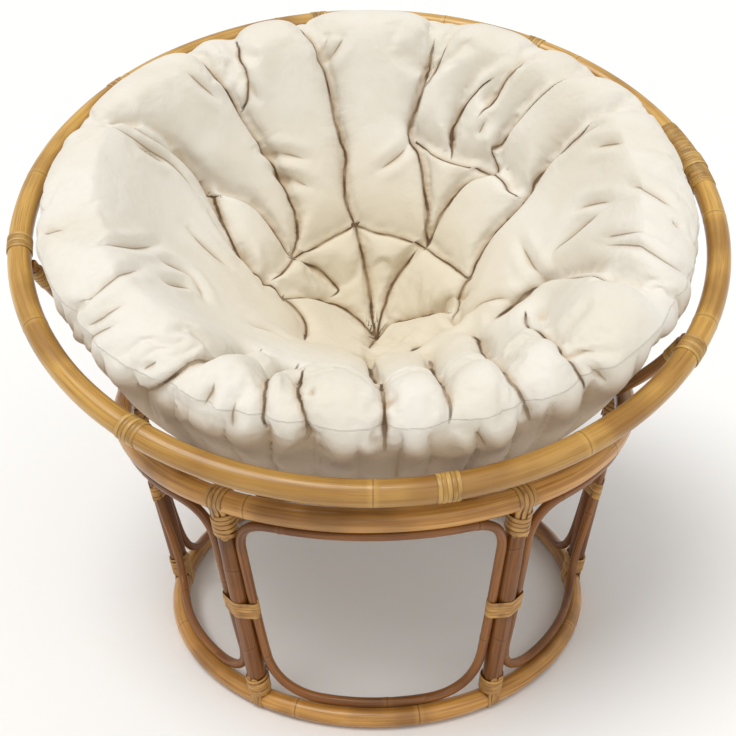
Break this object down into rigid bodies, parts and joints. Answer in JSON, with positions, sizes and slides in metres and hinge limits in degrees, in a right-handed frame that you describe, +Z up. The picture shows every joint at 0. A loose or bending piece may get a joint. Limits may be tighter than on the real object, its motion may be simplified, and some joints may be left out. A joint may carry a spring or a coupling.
{
  "type": "papasan chair",
  "caption": "Papasan chair: a tufted round cushion in a rattan bowl that tilts in the top ring of a round rattan base with cane lashings and bent-cane loops",
  "frame": {"origin": "on the floor under the middle of the bowl's rim, which is the middle of the underside of the bounding box", "axes": "+X is to the right as seen from the front, +Y is to the back, +Z is up, and the low front of the bowl faces -Y"},
  "size_m": [1.1026, 0.9942, 0.9452],
  "materials": {
    "rim_rattan": "varnished honey rattan pole",
    "base_rattan": "varnished honey-brown rattan pole",
    "leg_rattan": "varnished reddish-brown rattan pole",
    "loop_cane": "varnished thin bent cane",
    "rib_rattan": "varnished rattan pole",
    "binding_cane": "split cane with a satin skin",
    "cotton": "matt off-white cotton"
  },
  "bodies": {
    "base": {"base_top_ring": "base_rattan", "base_bottom_ring": "base_rattan", "leg_1": "leg_rattan", "leg_2": "leg_rattan", "leg_3": "leg_rattan", "leg_4": "leg_rattan", "leg_5": "leg_rattan", "leg_6": "leg_rattan", "bay_loop_1": "loop_cane", "bay_loop_2": "loop_cane", "bay_loop_3": "loop_cane", "bay_loop_4": "loop_cane", "bay_loop_5": "loop_cane", "bay_loop_6": "loop_cane", "head_lashing_1": "binding_cane", "mid_lashing_1": "binding_cane", "foot_lashing_1": "binding_cane", "head_lashing_2": "binding_cane", "mid_lashing_2": "binding_cane", "foot_lashing_2": "binding_cane", "head_lashing_3": "binding_cane", "mid_lashing_3": "binding_cane", "foot_lashing_3": "binding_cane", "head_lashing_4": "binding_cane", "mid_lashing_4": "binding_cane", "foot_lashing_4": "binding_cane", "head_lashing_5": "binding_cane", "mid_lashing_5": "binding_cane", "foot_lashing_5": "binding_cane", "head_lashing_6": "binding_cane", "mid_lashing_6": "binding_cane", "foot_lashing_6": "binding_cane"},
    "bowl": {"bowl_rim": "rim_rattan", "bowl_rib_1": "rib_rattan", "bowl_rib_2": "rib_rattan", "bowl_rib_3": "rib_rattan", "bowl_rib_4": "rib_rattan", "bowl_rib_5": "rib_rattan", "bowl_rib_6": "rib_rattan", "bowl_rib_7": "rib_rattan", "bowl_rib_8": "rib_rattan", "bowl_mid_hoop": "rib_rattan", "bowl_foot_hoop": "rib_rattan", "rim_lashing_1": "binding_cane", "rim_lashing_2": "binding_cane", "rim_lashing_3": "binding_cane", "rim_lashing_4": "binding_cane", "rim_lashing_5": "binding_cane", "rim_lashing_6": "binding_cane", "rim_lashing_7": "binding_cane", "rim_lashing_8": "binding_cane", "scarf_winding_1": "binding_cane", "scarf_winding_2": "binding_cane"},
    "cushion": {"cushion": "cotton"}
  },
  "joints": [
    {"name": "bowl_tilt", "type": "hinge", "parent": "base", "child": "bowl", "pos_m": [0.00184, -0.05597, 0.79609], "axis": [1, 0, 0], "range_deg": [-25.5, 3]},
    {"name": "cushion_lift", "type": "slide", "parent": "bowl", "child": "cushion", "axis": [0.0142, -0.4305, 0.9025], "range_m": [0, 0.5]}
  ]
}
